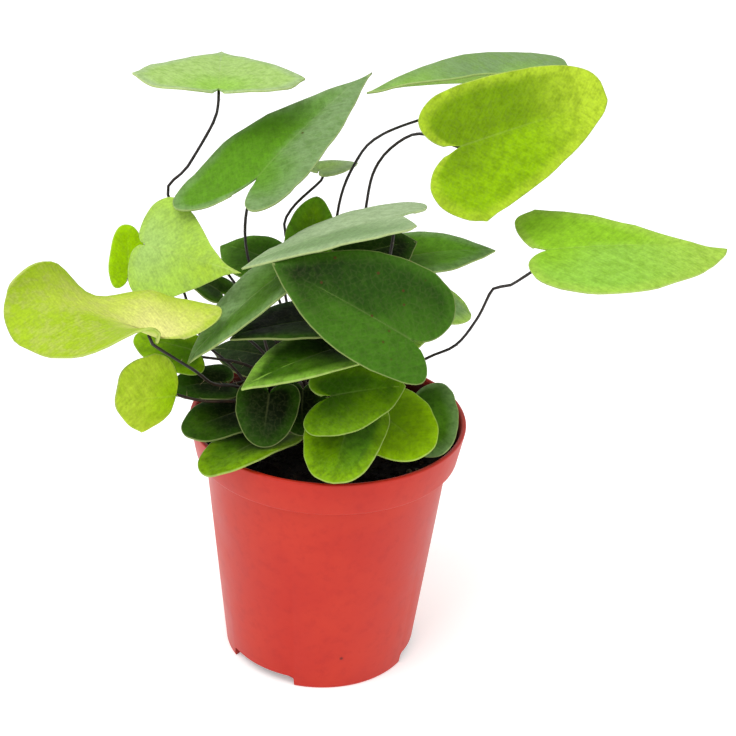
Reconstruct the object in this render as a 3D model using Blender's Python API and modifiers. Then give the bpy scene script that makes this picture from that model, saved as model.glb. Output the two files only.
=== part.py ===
"""Potted heart fern: a small nursery pot, its soil, and a tuft of heart-shaped fronds.

The origin is the centre of the pot's flat underside, +Z is up, and the side shown to a viewer is -Y.
Lengths are in metres; MM turns the millimetre values below into them.
"""

import math

import bmesh
import bpy
from mathutils import Matrix, Vector, noise

MM = 0.001
GAP = 0.3 * MM

# pot: turned, with a collar under the rim and three drain slots in its foot
POT_HEIGHT = 57 * MM
POT_RIM_RADIUS = 30 * MM
POT_COLLAR_HEIGHT = 8 * MM
POT_COLLAR_FOOT_RADIUS = 28.5 * MM
POT_WALL_TOP_RADIUS = 26.6 * MM
POT_FOOT_RADIUS = 21.3 * MM
POT_WALL = 1.1 * MM
POT_FLOOR = 1.2 * MM
POT_EDGE = 0.5 * MM
POT_STEPS = 48
SLOT_ANGLES = (-127, -7, 113)
SLOT_WIDTH = 17 * MM
SLOT_HEIGHT = 2.6 * MM
SLOT_REACH = 17.6 * MM

# soil: fills the pot up to a little below the rim, with a lumpy top
SOIL_TOP = 53.4 * MM
SOIL_RELIEF = 1.0 * MM
SOIL_LUMP = 5 * MM
SOIL_SHOULDER = 1.7 * MM
SOIL_STEPS = 32
SOIL_RINGS = 5

# crown: the short rootstock that the low fronds grow from, seated in a plain hole in the soil
CROWN_CENTRE = (-3 * MM, -1 * MM)
CROWN_RADIUS = 6.5 * MM
CROWN_TOP = 57.5 * MM
CROWN_DEPTH = 4 * MM
CROWN_RELIEF = 0.8 * MM
CROWN_LUMP = 3 * MM
CROWN_HOLE_SIDES = 20

# fronds: how finely a blade is cut is (rays on each side, rings)
BLADE_THICKNESS = 0.7 * MM
LARGE = (10, 4)
SMALL = (8, 3)
SINUS_OPEN = 0.16
SINUS_END = math.radians(62)
CORNER_SPREAD = 0.7
STALK_RADIUS = 0.4 * MM
STALK_HOLE_RADIUS = 0.8 * MM
STALK_HOLE_SIDES = 8
STALK_DEPTH = 5 * MM
STALK_SPACING = 6.5 * MM
STALK_NECK = 2.5 * MM
STALK_SEAT = 1.6 * MM
STALK_ROOT = 3 * MM


def pair(value):
    """A value for the left half and one for the right."""
    return value if isinstance(value, tuple) else (value, value)


def frond(name, base, tip, foot=None, via=(), width=0.84, sides=(1, 1), widest=0.1, lobe=0.26,
          heel=0.46, point=1.0, corner=0.0, roll=0, fold=6, twist=0, dip=0, arch=0.03, droop=0.02,
          lean=0.6, mesh=SMALL):
    """One frond in millimetres and degrees. base is where the stalk meets the blade, tip the far end.

    width, lobe and widest are shares of the length from base to tip, sides narrows the left or the right
    half, and heel is how far out the lobe's end lies. point is about 1 for a pointed tip and 0.5 for a
    round one, and corner sharpens the blade where it is widest. roll lifts the blade's left half, fold
    lifts both halves, twist lifts them further towards the tip, dip lifts them in the middle, arch
    raises the midrib's middle and droop lowers the lobes. Most of these may differ between the halves.
    A tall frond has a foot of its own in the soil; the others grow from the crown. via are places that
    the stalk passes on its way up, and lean says how far it comes in from behind the blade's notch, not
    square from below.
    """
    return {"name": name, "base": Vector(base) * MM, "tip": Vector(tip) * MM,
            "foot": foot and Vector((*foot, 0)) * MM, "via": [Vector(p) * MM for p in via],
            "width": width, "sides": sides, "widest": pair(widest), "lobe": pair(lobe),
            "heel": pair(heel), "point": pair(point), "corner": pair(corner), "roll": math.radians(roll),
            "fold": [math.radians(f) for f in pair(fold)], "twist": [math.radians(t) for t in pair(twist)],
            "dip": [math.radians(d) for d in pair(dip)], "arch": arch, "droop": pair(droop),
            "lean": lean, "mesh": mesh}


TALL = [
    frond("01", (-25, 8, 126), (-27, 40, 125), foot=(-11, 4), fold=6, width=1.1, lobe=0.2, droop=-0.05,
          arch=0.02, point=1.4, corner=0.35, mesh=LARGE,
          via=[(-16, 9, 74), (-27, 11, 90), (-35, 5, 104), (-31, 6, 110), (-26, 8, 119)]),
    frond("02", (-16, -4, 112), (6, 26, 126), foot=(-8, 7), roll=-3, fold=0, width=0.74, sides=(1, 0.64),
          lobe=(0.37, 0.25), droop=-0.05, point=(1.7, 1.3), mesh=LARGE,
          via=[(-13, 4, 76), (-18, -3, 95), (-18, -4, 106)]),
    frond("03", (42, 32, 123), (5, 18, 124), foot=(1, 8), roll=4, fold=22, width=0.72, sides=(1, 0.92),
          widest=(0.1, -0.08), lobe=(0.12, 0.31), heel=(0.46, 0.74), droop=(-0.04, 0), point=1.2,
          mesh=LARGE, via=[(0, 10, 80), (0, 11, 99), (3, 14, 109), (9, 18, 115), (26, 26, 119)]),
    frond("04", (24, 0, 119), (53.6, 8, 127.8), foot=(5, 5), roll=60, fold=5, width=0.84,
          sides=(0.87, 1.2), widest=(0.1, 0), lobe=(0.2, 0.26), point=(0.3, 0.7), corner=(0, 0.3),
          mesh=LARGE, via=[(5, 7, 80), (6, 8, 103), (8, 8, 112), (13, 6.5, 118), (17.5, 5, 119.5)]),
    frond("05", (43, -6, 100), (79, -6, 102), foot=(7, 0), roll=16, fold=4, width=0.8, sides=(0.9, 1.1),
          widest=(-0.05, 0.28), lobe=(0.17, 0.12), heel=(0.8, 0.25), droop=0, point=(1.7, 0.75),
          corner=(0.3, 0), mesh=LARGE,
          via=[(12, -2, 66), (20, -3, 73), (26, -4, 77), (30, -5, 84), (32.5, -6, 91), (36, -6, 92)]),
    frond("06", (-4, 20, 105.5), (4, 27, 105.3), foot=(-4, 9), width=0.75, lobe=0.1,
          via=[(-5, 13, 78), (-11, 18, 91), (-10, 18, 97)]),
    frond("07", (12, -12, 108), (-18, -22, 100), foot=(1.5, -9), roll=11, fold=0, width=0.78,
          sides=(0.9, 1.08), lobe=(0.04, 0.26), heel=(0.5, 0.65), lean=0, point=(1, 1.4), mesh=LARGE,
          via=[(4, -6, 76), (6, -9, 86), (10, -12, 96)]),
    frond("08", (15, -30, 90), (-12, -24, 102), foot=(7, -5), roll=-45, fold=10, width=0.9, lean=0,
          sides=(0.74, 1), widest=(0.25, 0.1), lobe=(0.2, 0.18), mesh=LARGE,
          via=[(11, -5, 65), (12, -9, 74), (14, -20, 83)]),
    frond("09", (-38, -8, 98), (-18, -18, 97), foot=(-13, -1), roll=60, fold=-5, width=0.95, lobe=0.04,
          point=(2.6, 1.8), lean=0, via=[(-20, 1, 66), (-27, 2, 72), (-30, 2, 79), (-32, -2, 88)],
          mesh=LARGE),
    frond("10", (-33.6, -28, 87.2), (-61.8, -30, 94.9), foot=(-12, -5), roll=-20, fold=(52, 6),
          twist=(-135, 85), dip=(-32, -38), arch=0.05, droop=(0.05, -0.2), width=0.9,
          sides=(1.05, 0.85), lobe=(0.01, 0.38), heel=(0.25, 0.46), point=(0.45, 0.3), mesh=LARGE,
          via=[(-12.5, -5.5, 62), (-18.8, -13, 69.5), (-23.5, -17, 72), (-27.1, -22, 77.5)]),
    frond("11", (-31, -20, 70.5), (-41, -31, 75), foot=(-9, -9), roll=-85, fold=(-12, 0),
          twist=(12, 0), width=1.16, sides=(0.85, 1), widest=(0.42, 0.5), point=(0.55, 0.22),
          corner=(0.2, 0.1), lobe=(0.03, 0.02), heel=(0.46, 0.2), lean=3, mesh=LARGE,
          via=[(-10.5, -9.5, 62), (-17, -11, 65), (-26, -15, 67)]),
]

LOW = [
    frond("12", (4, -4, 96), (16.8, 3, 97), roll=28, width=1.1, via=[(0, -2, 70), (1, -3, 84)]),
    frond("13", (15, 4, 93), (34, 10, 93), roll=10, width=0.8, via=[(4, 2, 70), (10, 3, 83)]),
    frond("14", (18, -8, 88.4), (28.3, -4, 85), roll=20, point=0.5, width=1.2,
          via=[(5, -3, 68), (12, -6, 78)]),
    frond("15", (-5.5, 8, 92), (-4.5, 12, 102.4), point=0.6, width=1.0, via=[(-3, 3, 70), (-4, 6, 82)]),
    frond("16", (-15, 9.5, 89), (-25, 16, 89), roll=-20, width=1.3, sides=(1, 0.75),
          via=[(-7, 3, 70), (-11, 5, 80)]),
    frond("17", (-43, 2, 87), (-43.5, 4, 97.3), point=0.45, width=0.75, lean=2,
          via=[(-10, 1, 65), (-18, 5, 72), (-32, 8, 78), (-41, 7, 80)]),
    frond("18", (-29, -4, 73), (-41.3, -3, 75), roll=-35, width=1.0, sides=(1, 0.6), point=0.5,
          via=[(-10, -2, 64), (-18, -2.5, 69.5)]),
    frond("19", (-12, -16, 95), (-28.4, -22, 79), width=0.7, lean=0, via=[(-9, -4, 82), (-11, -7, 93)]),
    frond("20", (-24, 4, 83), (-31, 8, 85), point=0.6, width=1.2, via=[(-6, 1, 66), (-14, 3, 75)]),
    frond("21", (-1, -16, 87), (-20, -22, 85), width=0.9, lean=3, via=[(-1, -5, 78), (-1, -9, 85)]),
    frond("22", (2, -20, 83), (-17, -32, 79), width=0.8, lean=1, via=[(1, -5, 68), (3, -12, 77)]),
    frond("23", (0.6, -24, 74), (15, -24, 77), roll=38, width=1.15, sides=(0.75, 1.05), lobe=(0.3, 0.42),
          point=0.8, via=[(0, -7, 64), (0.5, -12, 69), (0.5, -18, 70.5)]),
    frond("24", (4.5, -19, 66.5), (1.5, -33, 59.5), roll=5, point=0.35, width=1.06, lobe=0.25,
          via=[(-1, -9.5, 61), (3, -15, 64)]),
    frond("25", (11, -13, 64.5), (20.5, -24, 62.2), roll=25, point=0.45, width=1.12, sides=(1, 1.1),
          via=[(3.6, -8, 60)]),
    frond("26", (18.3, -3.5, 63.5), (22.8, -16.8, 57.4), roll=15, point=0.45, width=1.05, lobe=0.2,
          via=[(7, -2, 60)]),
    frond("27", (-13, -17, 59.8), (-24.5, -28.5, 57.6), roll=4, width=1.05, sides=(0.8, 0.85),
          lobe=(0.4, 0.2), point=0.45, via=[(-6, -10, 58.5)]),
    frond("28", (-18, -10, 62.5), (-29.5, -17, 60.2), roll=-9, width=1.2, sides=(0.9, 0.8), point=0.45,
          lobe=0.2, lean=2, via=[(-10.5, -7, 58)]),
    frond("29", (-22.5, -6.5, 67), (-33, -9.5, 66.5), roll=-15, width=1.0, point=0.5, lean=3,
          via=[(-9, -2, 63), (-15, -3.5, 66.5)]),
    frond("30", (-12.3, -15, 69), (-13, -23.5, 61.5), width=1.15, point=0.5, lean=1, via=[(-10, -7, 62)]),
    frond("34", (-5.5, -11, 68), (-5.5, -19, 62), width=1.05, point=0.5, lean=1, via=[(-4.5, -6, 62)]),
    frond("31", (-12, 14, 63), (-27, 22, 61), roll=-15, width=1.0, via=[(-6, 6, 61)]),
    frond("32", (9, 15, 68), (19, 37, 65), width=0.9, via=[(3.5, 7, 63)]),
    frond("33", (-3, 20, 80), (-5, 42, 82), width=0.9, via=[(-1.5, 8.5, 66), (-2, 14, 76)]),
]

FRONDS = TALL + LOW


def clear_scene():
    for ob in list(bpy.data.objects):
        bpy.data.objects.remove(ob, do_unlink=True)


def new_collection(name):
    collection = bpy.data.collections.new(name)
    bpy.context.scene.collection.children.link(collection)
    return collection


def make_material(name, colour, roughness):
    material = bpy.data.materials.new(name)
    material.use_nodes = True
    shader = material.node_tree.nodes["Principled BSDF"]
    shader.inputs["Base Color"].default_value = (*colour, 1)
    shader.inputs["Roughness"].default_value = roughness
    shader.inputs["Metallic"].default_value = 0
    return material


def add_object(name, data, collection, material):
    ob = bpy.data.objects.new(name, data)
    collection.objects.link(ob)
    data.materials.append(material)
    return ob


def add_cutter(name, mesh, collection):
    ob = bpy.data.objects.new(name, mesh)
    collection.objects.link(ob)
    ob.hide_render = True
    ob.display_type = "WIRE"
    return ob


def evaluated_mesh(ob):
    """The object's mesh with its modifiers or bevel applied and its seams welded."""
    bpy.context.view_layer.update()
    depsgraph = bpy.context.evaluated_depsgraph_get()
    mesh = bpy.data.meshes.new_from_object(ob.evaluated_get(depsgraph))
    bm = bmesh.new()
    bm.from_mesh(mesh)
    bmesh.ops.remove_doubles(bm, verts=bm.verts, dist=0.001 * MM)
    bm.to_mesh(mesh)
    bm.free()
    return mesh


def turn_profile(ob, steps):
    screw = ob.modifiers.new("turn", "SCREW")
    screw.steps = steps
    screw.render_steps = steps
    screw.use_merge_vertices = True
    screw.merge_threshold = 0.01 * MM
    return screw


def profile_mesh(name, points):
    """A line of (radius, height) points in the XZ plane."""
    mesh = bpy.data.meshes.new(name)
    mesh.from_pydata([(r, 0, z) for r, z in points], [(i, i + 1) for i in range(len(points) - 1)], [])
    return mesh


def pot_inner_radius(z):
    """The radius of the pot's inside at height z, below or within the collar."""
    step = POT_HEIGHT - POT_COLLAR_HEIGHT
    if z <= step:
        share = z / step
        return POT_FOOT_RADIUS + (POT_WALL_TOP_RADIUS - POT_FOOT_RADIUS) * share - POT_WALL
    share = (z - step) / POT_COLLAR_HEIGHT
    return POT_COLLAR_FOOT_RADIUS + (POT_RIM_RADIUS - POT_COLLAR_FOOT_RADIUS) * share - POT_WALL


def make_pot(collection, cutters, material):
    step = POT_HEIGHT - POT_COLLAR_HEIGHT
    points = [
        (0, POT_FLOOR),
        (pot_inner_radius(POT_FLOOR), POT_FLOOR),
        (pot_inner_radius(step - POT_WALL), step - POT_WALL),
        (pot_inner_radius(step + POT_WALL), step + POT_WALL),
        (POT_RIM_RADIUS - POT_WALL, POT_HEIGHT - POT_EDGE / 2),
        (POT_RIM_RADIUS - POT_WALL + POT_EDGE / 2, POT_HEIGHT),
        (POT_RIM_RADIUS - POT_EDGE, POT_HEIGHT),
        (POT_RIM_RADIUS, POT_HEIGHT - POT_EDGE),
        (POT_COLLAR_FOOT_RADIUS, step + POT_EDGE / 2),
        (POT_COLLAR_FOOT_RADIUS - POT_EDGE, step),
        (POT_WALL_TOP_RADIUS, step - POT_EDGE / 2),
        (POT_FOOT_RADIUS, POT_EDGE),
        (POT_FOOT_RADIUS - POT_EDGE, 0),
        (0, 0),
    ]
    pot = add_object("pot", profile_mesh("pot", points), collection, material)
    turn_profile(pot, POT_STEPS)
    for angle in SLOT_ANGLES:
        mesh = bpy.data.meshes.new("slot")
        bm = bmesh.new()
        bmesh.ops.create_cube(bm, size=1)
        bmesh.ops.scale(bm, verts=bm.verts, vec=(2 * (POT_FOOT_RADIUS - SLOT_REACH) + 2 * MM, SLOT_WIDTH,
                                                 2 * SLOT_HEIGHT))
        bmesh.ops.translate(bm, verts=bm.verts, vec=(POT_FOOT_RADIUS + MM, 0, 0))
        bmesh.ops.rotate(bm, verts=bm.verts, matrix=Matrix.Rotation(math.radians(angle), 3, "Z"))
        bm.to_mesh(mesh)
        bm.free()
        cut = pot.modifiers.new("slot", "BOOLEAN")
        cut.operation = "DIFFERENCE"
        cut.object = add_cutter("slot_cutter", mesh, cutters)
    return pot


def cylinder_cutter(name, x, y, radius, bottom, top, sides, collection):
    mesh = bpy.data.meshes.new(name)
    bm = bmesh.new()
    bmesh.ops.create_cone(bm, cap_ends=True, segments=sides, radius1=radius, radius2=radius,
                          depth=top - bottom)
    bmesh.ops.translate(bm, verts=bm.verts, vec=(x, y, (bottom + top) / 2))
    bm.to_mesh(mesh)
    bm.free()
    return add_cutter(name, mesh, collection)


def make_soil(collection, cutters, material):
    """A turned fill with a lumpy top, and plain holes for the crown and for the tall stalks."""
    edge = pot_inner_radius(SOIL_TOP) - GAP
    step = POT_HEIGHT - POT_COLLAR_HEIGHT
    floor = POT_FLOOR + GAP
    rings = [(edge - SOIL_SHOULDER) * (1 - i / SOIL_RINGS) for i in range(SOIL_RINGS)]
    points = [(0, SOIL_TOP)] + [(r, SOIL_TOP) for r in reversed(rings)]
    points += [
        (edge - GAP, SOIL_TOP - MM),
        (pot_inner_radius(step + POT_WALL) - GAP, step + POT_WALL + GAP),
        (pot_inner_radius(step - POT_WALL) - GAP, step - POT_WALL + GAP),
        (pot_inner_radius(floor) - GAP, floor),
        (0, floor),
    ]
    blank = add_object("soil_blank", profile_mesh("soil_blank", points), collection, material)
    turn_profile(blank, SOIL_STEPS)
    mesh = evaluated_mesh(blank)
    bpy.data.objects.remove(blank, do_unlink=True)
    for vert in mesh.vertices:
        if vert.co.z > SOIL_TOP - MM / 2:
            vert.co.z += SOIL_RELIEF * noise.noise(vert.co / SOIL_LUMP)
    soil = add_object("soil", mesh, collection, material)
    holes = bpy.data.collections.new("soil holes")
    cutters.children.link(holes)
    cylinder_cutter("crown_hole", *CROWN_CENTRE, CROWN_RADIUS + CROWN_RELIEF / 2 + GAP,
                    SOIL_TOP - CROWN_DEPTH - GAP, POT_HEIGHT, CROWN_HOLE_SIDES, holes)
    for spec in TALL:
        cylinder_cutter("stalk_hole", spec["foot"].x, spec["foot"].y, STALK_HOLE_RADIUS,
                        SOIL_TOP - STALK_DEPTH - GAP, POT_HEIGHT, STALK_HOLE_SIDES, holes)
    cut = soil.modifiers.new("holes", "BOOLEAN")
    cut.operation = "DIFFERENCE"
    cut.operand_type = "COLLECTION"
    cut.collection = holes
    return soil


def frame_of(spec):
    """The blade's own axes: along the midrib, to its left, and out of its upper face."""
    along = (spec["tip"] - spec["base"]).normalized()
    up = (Vector((0, 0, 1)) - along * along.z).normalized()
    left = up.cross(along)
    turn = Matrix.Rotation(spec["roll"], 3, along)
    return along, turn @ left, turn @ up


def outline_point(k, steps, spec, length):
    """Point k of the flat blade's outline: 0 at the tip, positive round the left half, else the right."""
    side = int(k < 0)
    half_width = spec["width"] * spec["sides"][side] * length / 2
    widest = spec["widest"][side] * length
    lobe = spec["lobe"][side] * length
    heel = spec["heel"][side]
    front = steps // 2
    k = abs(k)
    if k <= front:
        off = math.cos(math.pi / 2 * k / front)
        u = widest + (length - widest) * off
        v = half_width * (1 - off * off) ** spec["point"][side]
    else:
        off = (k - front) / (steps - front)
        back = off * (math.pi / 2 + SINUS_END)
        if back <= math.pi / 2:
            u = widest - (widest + lobe) * math.sin(back)
            v = half_width * (heel + (1 - heel) * math.cos(back))
        else:
            u = -lobe * math.cos(back - math.pi / 2)
            v = half_width * heel * (1 - math.sin(back - math.pi / 2))
    v *= 1 - spec["corner"][side] * off ** CORNER_SPREAD
    v += SINUS_OPEN * max(0, -u)
    return u, -v if side else v


def blade_point(u, v, spec, length, axes):
    """Where a point of the flat blade lies once the blade is arched, twisted, folded and dipped."""
    along, left, up = axes
    side = int(v < 0)
    s = u / length
    if s >= 0:
        rise = 4 * spec["arch"] * s * (1 - s) * length
    else:
        rise = 4 * spec["arch"] * u - spec["droop"][side] * length * (s / spec["lobe"][side]) ** 2
    forward = max(s, 0)
    lift = spec["fold"][side] + spec["twist"][side] * forward ** 3
    lift += spec["dip"][side] * math.sin(math.pi * forward) ** 2
    rise += abs(v) * math.sin(lift)
    return spec["base"] + along * u + left * v * math.cos(lift) + up * rise


def make_blade(spec, collection, material):
    """A heart drawn as a fan of rings round the stalk's end, given its thickness by Solidify."""
    rays, rings = spec["mesh"]
    length = (spec["tip"] - spec["base"]).length
    axes = frame_of(spec)
    name = "blade_" + spec["name"]
    mesh = bpy.data.meshes.new(name)
    bm = bmesh.new()
    bmesh.ops.create_grid(bm, x_segments=2 * rays, y_segments=rings, size=1)
    for vert in bm.verts:
        u, v = outline_point(-round(vert.co.x * rays), rays, spec, length)
        ring = (vert.co.y + 1) / 2
        vert.co = blade_point(u * ring, v * ring, spec, length, axes)
    bmesh.ops.remove_doubles(bm, verts=bm.verts, dist=0.01 * MM)
    bmesh.ops.triangulate(bm, faces=bm.faces)
    bm.to_mesh(mesh)
    bm.free()
    ob = add_object(name, mesh, collection, material)
    solidify = ob.modifiers.new("thickness", "SOLIDIFY")
    solidify.thickness = BLADE_THICKNESS
    solidify.offset = 0
    return ob


def smooth_path(points, spacing):
    """Points about one spacing apart on a smooth curve through the given ones."""
    path = [points[0]]
    for i in range(len(points) - 1):
        before = points[max(i - 1, 0)]
        start, end = points[i], points[i + 1]
        after = points[min(i + 2, len(points) - 1)]
        steps = max(1, round((end - start).length / spacing))
        for step in range(1, steps + 1):
            t = step / steps
            path.append(0.5 * (2 * start + (end - before) * t
                               + (2 * before - 5 * start + 4 * end - after) * t ** 2
                               + (3 * start - before - 3 * end + after) * t ** 3))
    return path


def stalk_route(spec):
    """From the foot in the soil or the crown up to just under the blade."""
    length = (spec["tip"] - spec["base"]).length
    axes = frame_of(spec)
    along, left, up = axes
    joint = blade_point(STALK_SEAT, 0, spec, length, axes)
    hollow = STALK_RADIUS * max(0, math.tan(-min(spec["fold"])))
    approach = (up + along * spec["lean"]).normalized()
    tilt = STALK_RADIUS * approach.cross(up).length
    top = joint - up * (BLADE_THICKNESS / 2 + GAP + hollow + tilt)
    neck = top - approach * STALK_NECK
    if spec["foot"]:
        x, y = spec["foot"].xy
        foot = [Vector((x, y, SOIL_TOP - STALK_DEPTH)), Vector((x, y, SOIL_TOP + 2 * MM))]
    else:
        centre = Vector((*CROWN_CENTRE, CROWN_TOP - STALK_ROOT))
        out = ((spec["via"] + [neck])[0] - centre).normalized()
        foot = [centre + out * CROWN_RADIUS * 0.3, centre + out * CROWN_RADIUS * 0.8]
    return smooth_path([*foot, *spec["via"], neck, top], STALK_SPACING)


def make_stalk(spec, collection, material):
    """A wiry stalk: a poly curve with a round bevel."""
    name = "stalk_" + spec["name"]
    curve = bpy.data.curves.new(name, "CURVE")
    curve.dimensions = "3D"
    curve.bevel_depth = STALK_RADIUS
    curve.bevel_resolution = 1
    curve.use_fill_caps = True
    route = stalk_route(spec)
    spline = curve.splines.new("POLY")
    spline.points.add(len(route) - 1)
    for point, place in zip(spline.points, route):
        point.co = (*place, 1)
    return add_object(name, curve, collection, material)


def make_crown(collection, cutters, material):
    """The knobbly rootstock and the low stalks that grow out of it, joined as one body."""
    mesh = bpy.data.meshes.new("crown_blank")
    bottom = SOIL_TOP - CROWN_DEPTH
    bm = bmesh.new()
    bmesh.ops.create_icosphere(bm, subdivisions=2, radius=1)
    for vert in bm.verts:
        reach = CROWN_RADIUS * (1 + CROWN_RELIEF / CROWN_RADIUS * noise.noise(vert.co * CROWN_RADIUS
                                                                              / CROWN_LUMP))
        high = (CROWN_TOP - bottom) / 2
        vert.co = Vector((*CROWN_CENTRE, bottom + high)) + Vector((vert.co.x * reach, vert.co.y * reach,
                                                                   vert.co.z * high))
    bm.to_mesh(mesh)
    bm.free()
    blank = add_object("crown_blank", mesh, collection, material)
    stalks = bpy.data.collections.new("low stalks")
    cutters.children.link(stalks)
    for spec in LOW:
        curve = make_stalk(spec, stalks, material)
        add_cutter("low_stalk", evaluated_mesh(curve), stalks)
        bpy.data.objects.remove(curve, do_unlink=True)
    join = blank.modifiers.new("low stalks", "BOOLEAN")
    join.operation = "UNION"
    join.operand_type = "COLLECTION"
    join.collection = stalks
    join.solver = "MANIFOLD"
    crown = add_object("crown", evaluated_mesh(blank), collection, material)
    for ob in [blank, *stalks.objects]:
        bpy.data.objects.remove(ob, do_unlink=True)
    return crown


def shade(parts):
    """Round pieces are smooth; the pot and the soil keep their edges."""
    for ob in parts.objects:
        if ob.type == "MESH":
            ob.data.shade_smooth()
            ob.data.set_sharp_from_angle(angle=math.radians(40))


def main():
    clear_scene()
    parts = new_collection("potted heart fern")
    cutters = new_collection("cutters")
    terracotta = make_material("pot plastic", (0.60, 0.06, 0.035), 0.45)
    earth = make_material("soil", (0.02, 0.014, 0.01), 0.95)
    leaf = make_material("leaf", (0.16, 0.36, 0.05), 0.5)
    wiry = make_material("stalk", (0.03, 0.018, 0.015), 0.5)
    make_pot(parts, cutters, terracotta)
    make_soil(parts, cutters, earth)
    make_crown(parts, cutters, wiry)
    for spec in TALL:
        make_stalk(spec, parts, wiry)
    for spec in FRONDS:
        make_blade(spec, parts, leaf)
    shade(parts)


main()
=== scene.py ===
import math
import random

import bmesh
import bpy
from mathutils import Matrix, Vector, noise


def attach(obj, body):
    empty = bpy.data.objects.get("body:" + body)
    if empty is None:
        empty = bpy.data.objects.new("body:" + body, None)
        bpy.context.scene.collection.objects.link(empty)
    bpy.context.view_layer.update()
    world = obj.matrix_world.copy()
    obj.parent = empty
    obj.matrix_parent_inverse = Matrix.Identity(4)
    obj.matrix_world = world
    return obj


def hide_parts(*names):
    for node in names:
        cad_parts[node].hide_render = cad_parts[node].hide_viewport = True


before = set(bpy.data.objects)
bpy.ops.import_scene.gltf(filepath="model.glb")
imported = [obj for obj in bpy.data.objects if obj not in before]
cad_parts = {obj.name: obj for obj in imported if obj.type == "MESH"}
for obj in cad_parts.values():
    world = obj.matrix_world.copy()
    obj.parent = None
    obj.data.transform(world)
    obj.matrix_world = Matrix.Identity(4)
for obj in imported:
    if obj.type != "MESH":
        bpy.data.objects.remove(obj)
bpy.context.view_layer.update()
mm = 0.001

cameraSetup = {"place": (0, -0.306, 0.2203), "turn": (63.62, -2.86, -0.08), "lens": 78.26}
studio = {
    "floorSize": 6.0,
    "floorColour": (0.95, 0.95, 0.95, 1),
    "floorRoughness": 0.9,
    "floorSpecular": 0.1,
    "floorGlow": 0.28,
    "worldStrength": 0.88,
    "aim": (0, 0, 0.08),
    "lights": {
        "keyLight": {"place": (-0.3, -0.3, 0.9), "size": 0.6, "watts": 5.2},
        "fillLight": {"place": (0.5, -0.6, 0.35), "size": 0.6, "watts": 0.8},
    },
}


# small helpers for shader nodes

def feed(tree, socket, value):
    if isinstance(value, bpy.types.NodeSocket):
        tree.links.new(value, socket)
    else:
        socket.default_value = value


def addNode(tree, kind, inputs=None, **settings):
    node = tree.nodes.new(kind)
    for key, value in settings.items():
        setattr(node, key, value)
    for label, value in (inputs or {}).items():
        feed(tree, node.inputs[label], value)
    return node


def calc(tree, operation, first, second=0.0):
    node = addNode(tree, "ShaderNodeMath", operation=operation)
    feed(tree, node.inputs[0], first)
    feed(tree, node.inputs[1], second)
    return node.outputs[0]


def fade(tree, value, start, end, low=1.0, high=0.0):
    # smooth change from low to high while the value goes from start to end
    node = addNode(tree, "ShaderNodeMapRange", interpolation_type="SMOOTHSTEP", inputs={
        "Value": value, "From Min": start, "From Max": end, "To Min": low, "To Max": high})
    return node.outputs["Result"]


def mixColour(tree, factor, first, second, mode="MIX"):
    node = addNode(tree, "ShaderNodeMix", data_type="RGBA", blend_type=mode)
    feed(tree, node.inputs[0], factor)
    feed(tree, node.inputs[6], first)
    feed(tree, node.inputs[7], second)
    return node.outputs[2]


def noiseValue(tree, vector, scale, detail=3.0, roughness=0.5):
    node = addNode(tree, "ShaderNodeTexNoise", inputs={
        "Vector": vector, "Scale": scale, "Detail": detail, "Roughness": roughness})
    return node.outputs["Fac"]


def newGroup(name, inputs, outputs):
    group = bpy.data.node_groups.new(name, "ShaderNodeTree")
    kinds = {"colour": "NodeSocketColor", "value": "NodeSocketFloat", "vector": "NodeSocketVector"}
    for label, kind in inputs:
        group.interface.new_socket(label, in_out="INPUT", socket_type=kinds[kind])
    for label, kind in outputs:
        group.interface.new_socket(label, in_out="OUTPUT", socket_type=kinds[kind])
    given = group.nodes.new("NodeGroupInput").outputs
    made = group.nodes.new("NodeGroupOutput").inputs
    return group, given, made


def newMaterial(name, roughness=0.5, specular=0.5):
    material = bpy.data.materials.new(name)
    material.use_nodes = True
    tree = material.node_tree
    shader = tree.nodes["Principled BSDF"]
    shader.inputs["Roughness"].default_value = roughness
    shader.inputs["Specular IOR Level"].default_value = specular
    return material, tree, shader


def addBump(tree, shader, height, strength, distance):
    bump = addNode(tree, "ShaderNodeBump", inputs={
        "Height": height, "Strength": strength, "Distance": distance})
    tree.links.new(bump.outputs["Normal"], shader.inputs["Normal"])


def linear(red, green, blue):
    # a screen colour, 0 to 255, as the shader takes it
    return tuple((part / 255) ** 2.2 for part in (red, green, blue)) + (1.0,)


def finishPiece(bm, name, materials, smooth=True):
    mesh = bpy.data.meshes.new(name)
    bm.to_mesh(mesh)
    bm.free()
    for material in materials:
        mesh.materials.append(material)
    if smooth:
        mesh.shade_smooth()
    piece = bpy.data.objects.new(name, mesh)
    bpy.context.scene.collection.objects.link(piece)
    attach(piece, "root")
    return piece


# camera, lights and floor

def makeCamera():
    data = bpy.data.cameras.new("camera")
    data.lens = cameraSetup["lens"]
    camera = bpy.data.objects.new("camera", data)
    camera.location = cameraSetup["place"]
    camera.rotation_euler = [math.radians(angle) for angle in cameraSetup["turn"]]
    bpy.context.scene.collection.objects.link(camera)
    bpy.context.scene.camera = camera


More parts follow.
